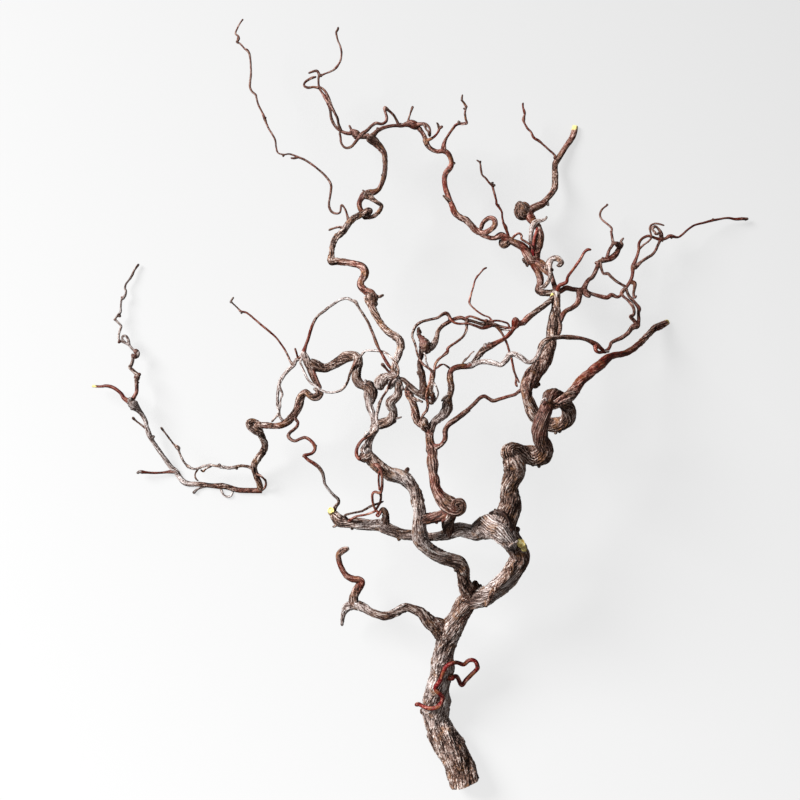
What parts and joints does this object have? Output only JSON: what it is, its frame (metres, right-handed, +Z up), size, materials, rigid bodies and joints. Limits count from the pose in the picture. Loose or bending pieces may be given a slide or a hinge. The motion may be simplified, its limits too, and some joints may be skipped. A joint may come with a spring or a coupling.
{
  "type": "dried contorted jujube branch",
  "caption": "Dried contorted jujube branch laid on its back: a furrowed grey stem forks into looping, knotted limbs and fine twisting twigs, with a sawn lower end.",
  "frame": {"origin": "middle of the branch's own box in X and Y, on the surface that it lies on", "axes": "+Z up from the surface, +Y from the sawn end towards the twigs, +X to the right as seen from above"},
  "size_m": [0.8579, 0.9896, 0.1833],
  "materials": {
    "old_wood": "rough furrowed bark, grey over brown",
    "young_wood": "smoother red-brown bark with a grey film",
    "pale_wood": "weathered silver-grey bark",
    "twig_wood": "thin dry twig bark, dark at the knots"
  },
  "bodies": {
    "root": {"trunk": "old_wood", "right_limb": "old_wood", "left_limb_lower": "old_wood", "left_limb_upper": "old_wood", "crossing_branch": "old_wood", "low_left_branch": "old_wood", "coil_limb": "young_wood", "fork_left_limb": "old_wood", "fork_right_limb": "old_wood", "s_bend": "old_wood", "top_loop": "old_wood", "upper_right_limb": "old_wood", "red_right_branch": "young_wood", "rising_branch": "pale_wood", "pale_branch": "pale_wood", "right_tangle": "twig_wood", "far_right_twig": "twig_wood", "right_side_branch": "twig_wood", "gall_branch": "twig_wood", "red_twig": "young_wood", "burl_strands": "old_wood", "lens_strands": "young_wood", "knob_cluster": "old_wood", "yellow_tip_branch": "young_wood", "chain_left": "old_wood", "chain_limb": "old_wood", "top_arm": "twig_wood", "bulb_limb": "old_wood", "double_strand_twig": "twig_wood", "curl_limb": "pale_wood", "top_limb_lower": "old_wood", "top_limb_upper": "old_wood", "long_twig": "twig_wood", "strap_coil": "pale_wood", "pale_limb": "pale_wood", "left_arm": "old_wood", "corner_limb": "old_wood", "lower_left_limb": "pale_wood", "left_chain": "twig_wood", "arch_twig": "twig_wood", "squiggle_twig": "twig_wood", "red_loop_twig": "young_wood", "middle_limb": "old_wood", "double_arch": "young_wood", "cross_twig": "twig_wood"}
  },
  "joints": []
}
